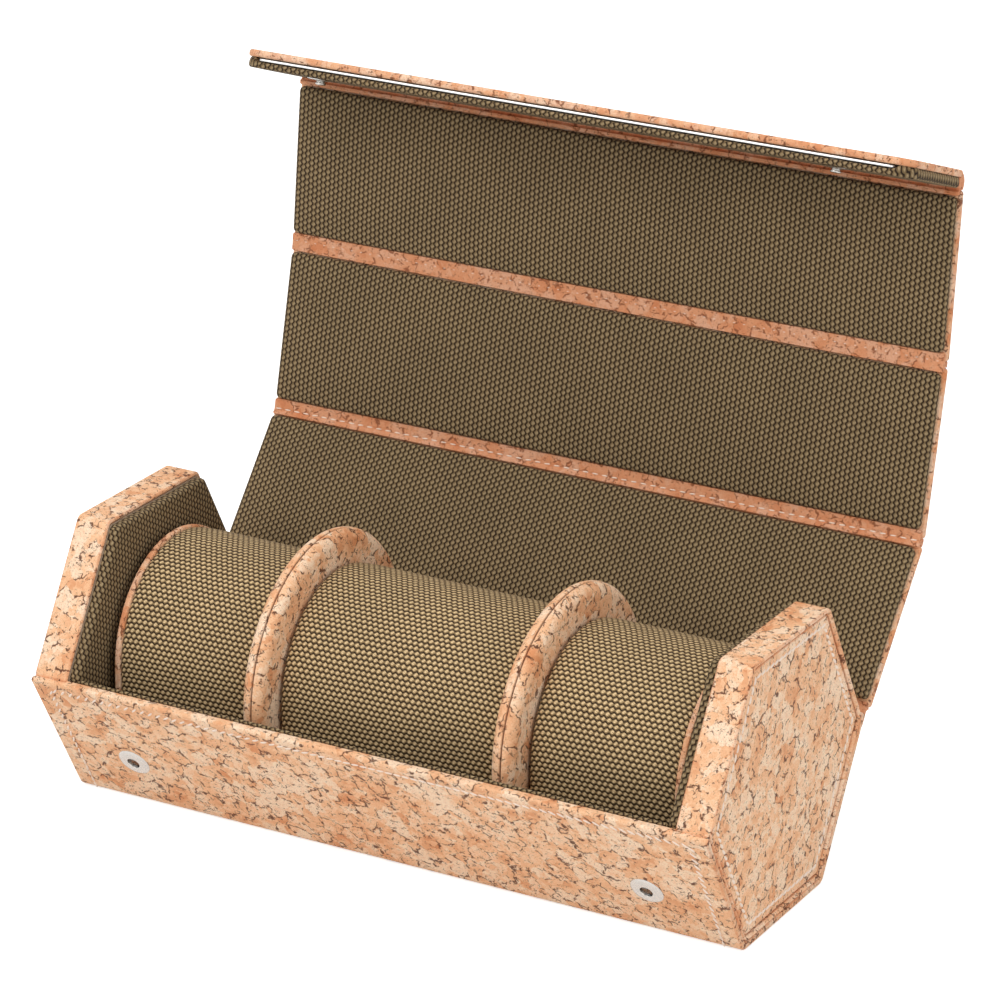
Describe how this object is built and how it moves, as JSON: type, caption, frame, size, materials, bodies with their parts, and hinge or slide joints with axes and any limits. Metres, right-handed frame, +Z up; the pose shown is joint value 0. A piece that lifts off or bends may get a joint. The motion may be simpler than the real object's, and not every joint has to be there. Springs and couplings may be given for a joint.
{
  "type": "watch travel case",
  "caption": "Hexagonal watch travel case in cork with canvas lining, a folding lid of hinged panels, a snap flap and lift-out pillows.",
  "frame": {"origin": "middle of the flat base, on the table", "axes": "+X along the case, +Z up, -Y towards the front wall with the snap sockets"},
  "size_m": [0.25, 0.1753, 0.2326],
  "materials": {
    "cork": "matte",
    "dark_cork": "matte",
    "canvas": "matte",
    "greyboard": "matte",
    "fibreboard": "matte",
    "foam": "matte",
    "snap_steel": "satin",
    "bar_steel": "satin"
  },
  "bodies": {
    "tray": {"tray_skin": "cork", "front_board": "greyboard", "floor_board": "greyboard", "back_board": "greyboard", "front_lining": "canvas", "floor_lining": "canvas", "back_lining": "canvas", "left_cap_core": "fibreboard", "left_cap_band": "cork", "left_cap_face": "cork", "left_cap_pad": "canvas", "right_cap_core": "fibreboard", "right_cap_band": "cork", "right_cap_face": "cork", "right_cap_pad": "canvas", "left_divider_board": "fibreboard", "left_divider_cover": "cork", "right_divider_board": "fibreboard", "right_divider_cover": "cork", "snap_sockets": "snap_steel", "socket_springs": "snap_steel", "back_hinge_strip": "dark_cork"},
    "back_panel": {"back_panel_skin": "cork", "back_panel_board": "greyboard", "back_panel_lining": "canvas", "rear_top_strip": "dark_cork"},
    "top_panel": {"top_panel_skin": "cork", "top_panel_board": "greyboard", "top_panel_lining": "canvas", "front_top_strip": "dark_cork"},
    "front_panel": {"front_panel_skin": "cork", "front_panel_board": "greyboard", "front_panel_lining": "canvas", "flap_strip": "dark_cork"},
    "flap": {"flap_skin": "cork", "flap_board": "greyboard", "flap_lining": "canvas", "flap_bar": "bar_steel", "snap_studs": "snap_steel", "stud_rivets": "snap_steel"},
    "left_pillow": {"left_pillow_core": "foam", "left_pillow_cover": "canvas", "left_pillow_discs": "cork"},
    "middle_pillow": {"middle_pillow_core": "foam", "middle_pillow_cover": "canvas", "middle_pillow_discs": "cork"},
    "right_pillow": {"right_pillow_core": "foam", "right_pillow_cover": "canvas", "right_pillow_discs": "cork"}
  },
  "joints": [
    {"name": "back_hinge", "type": "hinge", "parent": "tray", "child": "back_panel", "pos_m": [0, 0.05935, 0.0499], "axis": [-1, 0, 0], "range_deg": [-70, 50], "deforming": ["back_hinge_strip"]},
    {"name": "rear_top_hinge", "type": "hinge", "parent": "back_panel", "child": "top_panel", "pos_m": [0, 0.0975, 0.09537], "axis": [-1, 0, 0], "range_deg": [-32.5, 33.5], "deforming": ["rear_top_strip"]},
    {"name": "front_top_hinge", "type": "hinge", "parent": "top_panel", "child": "front_panel", "pos_m": [0, 0.11035, 0.15331], "axis": [-1, 0, 0], "range_deg": [-53, 15], "deforming": ["front_top_strip"]},
    {"name": "flap_hinge", "type": "hinge", "parent": "front_panel", "child": "flap", "pos_m": [0, 0.11604, 0.21239], "axis": [1, 0, 0], "range_deg": [-76, 8.5], "deforming": ["flap_strip"]},
    {"name": "left_pillow_lift", "type": "slide", "parent": "tray", "child": "left_pillow", "axis": [0, 0, 1], "range_m": [0, 0.11]},
    {"name": "middle_pillow_lift", "type": "slide", "parent": "tray", "child": "middle_pillow", "axis": [0, 0, 1], "range_m": [0, 0.11]},
    {"name": "right_pillow_lift", "type": "slide", "parent": "tray", "child": "right_pillow", "axis": [0, 0, 1], "range_m": [0, 0.11]}
  ]
}
